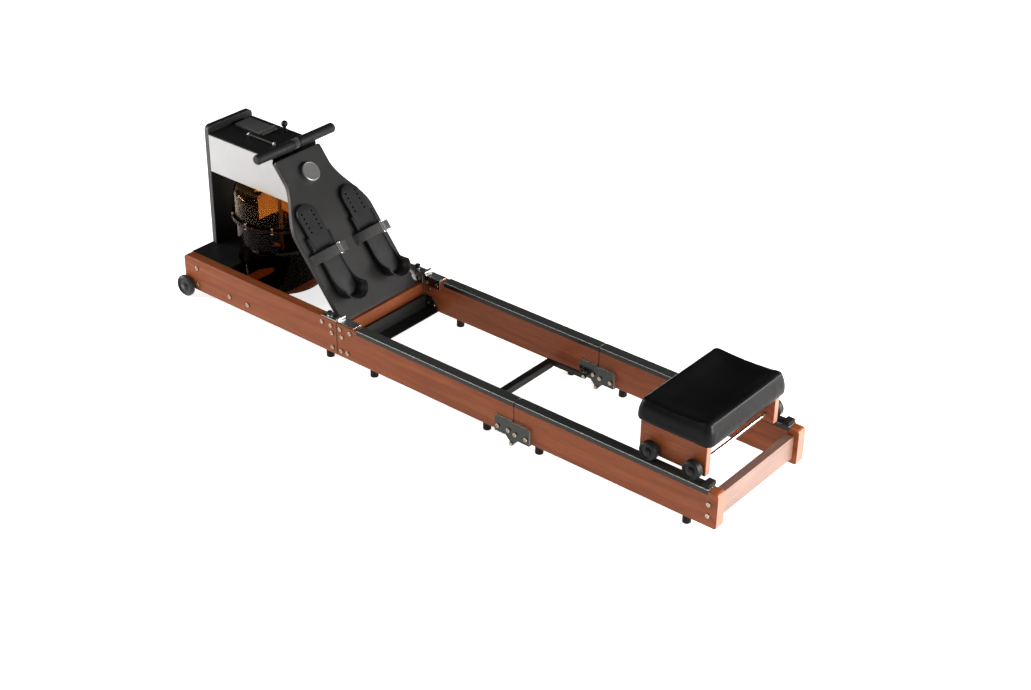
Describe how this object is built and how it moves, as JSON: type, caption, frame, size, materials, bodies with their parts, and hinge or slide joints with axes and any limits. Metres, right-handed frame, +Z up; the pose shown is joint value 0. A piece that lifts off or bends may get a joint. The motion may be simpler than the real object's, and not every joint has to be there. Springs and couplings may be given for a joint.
{
  "type": "folding water rowing machine",
  "caption": "Folding water rowing machine with wooden rails, a round water tank, a sloped foot panel with sliding foot rests, a strap handle and a padded seat on rollers.",
  "frame": {"origin": "middle of the machine's outer box at floor height, below the rails", "axes": "+X to the rear along the rails, towards the seat end, +Y to the right-hand rail of a rower who faces the tank, +Z up; the tank end is at -X"},
  "size_m": [2.022, 0.4718, 0.5505],
  "materials": {
    "wood": "satin varnish",
    "black_steel": "satin powder coat",
    "silver_panel": "silver lacquer",
    "grey_panel": "fine grain",
    "disc_grey": "satin",
    "tank_clear": "smoked amber, clear",
    "rubber": "matte",
    "steel": "zinc plated",
    "webbing": "woven",
    "black_plastic": "satin",
    "roller_black": "satin",
    "wheel_rubber": "satin",
    "track_black": "polished",
    "cushion": "smooth"
  },
  "bodies": {
    "front_frame": {"front_rail_left": "wood", "front_rail_right": "wood", "front_deck": "black_steel", "mast_panel": "black_steel", "drive_housing": "silver_panel", "top_cover": "black_steel", "foot_panel": "grey_panel", "cover_disc": "disc_grey", "foot_crossbar": "wood", "tank_bowl": "tank_clear", "tank_lid": "tank_clear", "tank_seal": "rubber", "tank_cradle": "black_steel", "front_feet": "rubber", "front_hinge_leaves": "steel", "front_bolts": "steel", "wheel_axles": "steel", "drive_bearings": "steel", "foot_straps": "webbing", "strap_buckles": "steel", "pull_strap": "webbing"},
    "wheel_left": {"transport_wheel_left": "wheel_rubber"},
    "wheel_right": {"transport_wheel_right": "wheel_rubber"},
    "tank_cap": {"fill_cap": "black_plastic"},
    "paddle": {"paddle_wheel": "black_plastic", "paddle_shaft": "steel"},
    "spool": {"drive_spool": "black_plastic"},
    "strap_guide": {"guide_roller": "black_plastic"},
    "handle": {"handle_bar": "black_steel", "handle_grip": "rubber"},
    "rest_left": {"foot_rest_left": "disc_grey"},
    "rest_right": {"foot_rest_right": "disc_grey"},
    "phone_plate": {"phone_rest": "black_plastic"},
    "knob": {"clamp_knob": "black_plastic"},
    "pin_left": {"lock_pin_left": "black_plastic"},
    "pin_right": {"lock_pin_right": "black_plastic"},
    "middle_section": {"mid_rail_left": "wood", "mid_rail_right": "wood", "mid_tracks": "track_black", "cross_tray": "black_steel", "mid_hinge_plates": "steel", "mid_bolts": "steel", "mid_feet": "rubber"},
    "release": {"release_bar": "black_steel"},
    "rear_section": {"rear_rail_left": "wood", "rear_rail_right": "wood", "rear_tracks": "track_black", "rear_crossbar": "wood", "rear_pivot_plates": "steel", "rear_bolts": "steel", "rear_feet": "rubber", "end_stops": "rubber"},
    "seat": {"seat_cushion": "cushion", "seat_base": "wood", "seat_side_plates": "wood", "seat_axles": "steel"},
    "roller_fl": {"seat_roller_front_left": "roller_black"},
    "roller_fr": {"seat_roller_front_right": "roller_black"},
    "roller_rl": {"seat_roller_rear_left": "roller_black"},
    "roller_rr": {"seat_roller_rear_right": "roller_black"}
  },
  "joints": [
    {"name": "middle_fold", "type": "hinge", "parent": "front_frame", "child": "middle_section", "pos_m": [-0.3305, 0, 0.143], "axis": [0, -1, 0], "range_deg": [0, 90]},
    {"name": "rear_fold", "type": "hinge", "parent": "middle_section", "child": "rear_section", "pos_m": [0.3415, 0, 0.009], "axis": [0, 1, 0], "range_deg": [0, 160]},
    {"name": "seat_slide", "type": "slide", "parent": "rear_section", "child": "seat", "axis": [1, 0, 0], "range_m": [-0.99, 0.015]},
    {"name": "roller_turn_fl", "type": "hinge", "parent": "seat", "child": "roller_fl", "pos_m": [0.781, -0.193, 0.16605], "axis": [0, 1, 0], "continuous": true},
    {"name": "roller_turn_fr", "type": "hinge", "parent": "seat", "child": "roller_fr", "pos_m": [0.781, 0.193, 0.16605], "axis": [0, 1, 0], "continuous": true},
    {"name": "roller_turn_rl", "type": "hinge", "parent": "seat", "child": "roller_rl", "pos_m": [0.916, -0.193, 0.16605], "axis": [0, 1, 0], "continuous": true},
    {"name": "roller_turn_rr", "type": "hinge", "parent": "seat", "child": "roller_rr", "pos_m": [0.916, 0.193, 0.16605], "axis": [0, 1, 0], "continuous": true},
    {"name": "handle_pull", "type": "slide", "parent": "front_frame", "child": "handle", "axis": [-1, 0, 0], "range_m": [-1.1, 0], "stiffness_N_per_m": 8, "springref_m": 0.6, "deforming": ["pull_strap"]},
    {"name": "spool_turn", "type": "hinge", "parent": "front_frame", "child": "spool", "pos_m": [-0.767, 0, 0.455], "axis": [0, 0, 1], "continuous": true},
    {"name": "guide_turn", "type": "hinge", "parent": "front_frame", "child": "strap_guide", "pos_m": [-0.715, 0, 0.519], "axis": [0, 1, 0], "continuous": true},
    {"name": "paddle_turn", "type": "hinge", "parent": "front_frame", "child": "paddle", "pos_m": [-0.767, 0, 0.3], "axis": [0, 0, 1], "continuous": true},
    {"name": "wheel_turn_left", "type": "hinge", "parent": "front_frame", "child": "wheel_left", "pos_m": [-0.977, -0.222, 0.0346], "axis": [0, 1, 0], "continuous": true},
    {"name": "wheel_turn_right", "type": "hinge", "parent": "front_frame", "child": "wheel_right", "pos_m": [-0.977, 0.222, 0.0346], "axis": [0, 1, 0], "continuous": true},
    {"name": "rest_slide_left", "type": "slide", "parent": "front_frame", "child": "rest_left", "axis": [0.632, 0, -0.7749], "range_m": [-0.03, 0.03]},
    {"name": "rest_slide_right", "type": "slide", "parent": "front_frame", "child": "rest_right", "axis": [0.632, 0, -0.7749], "range_m": [-0.03, 0.03]},
    {"name": "phone_tilt", "type": "hinge", "parent": "front_frame", "child": "phone_plate", "pos_m": [-0.831, 0.034, 0.5154], "axis": [0, 1, 0], "range_deg": [0, 75]},
    {"name": "knob_turn", "type": "hinge", "parent": "front_frame", "child": "knob", "pos_m": [-0.799, 0.068, 0.53], "axis": [0, 0, 1], "continuous": true},
    {"name": "cap_turn", "type": "hinge", "parent": "front_frame", "child": "tank_cap", "pos_m": [-0.767, 0.114, 0.38], "axis": [0, 0, 1], "range_deg": [0, 90]},
    {"name": "pin_lift_left", "type": "slide", "parent": "front_frame", "child": "pin_left", "axis": [0, 0, 1], "range_m": [0, 0.012]},
    {"name": "pin_lift_right", "type": "slide", "parent": "front_frame", "child": "pin_right", "axis": [0, 0, 1], "range_m": [0, 0.012]},
    {"name": "release_lift", "type": "hinge", "parent": "middle_section", "child": "release", "pos_m": [0.307, 0, 0.038], "axis": [0, 1, 0], "range_deg": [0, 15]}
  ],
  "couplings": [
    {"joint": "roller_turn_fl", "follows": "seat_slide", "rad_per_m": 37.037},
    {"joint": "roller_turn_fr", "follows": "seat_slide", "rad_per_m": 37.037},
    {"joint": "roller_turn_rl", "follows": "seat_slide", "rad_per_m": 37.037},
    {"joint": "roller_turn_rr", "follows": "seat_slide", "rad_per_m": 37.037},
    {"joint": "spool_turn", "follows": "handle_pull", "rad_per_m": -32.52},
    {"joint": "guide_turn", "follows": "handle_pull", "rad_per_m": -129.03}
  ]
}
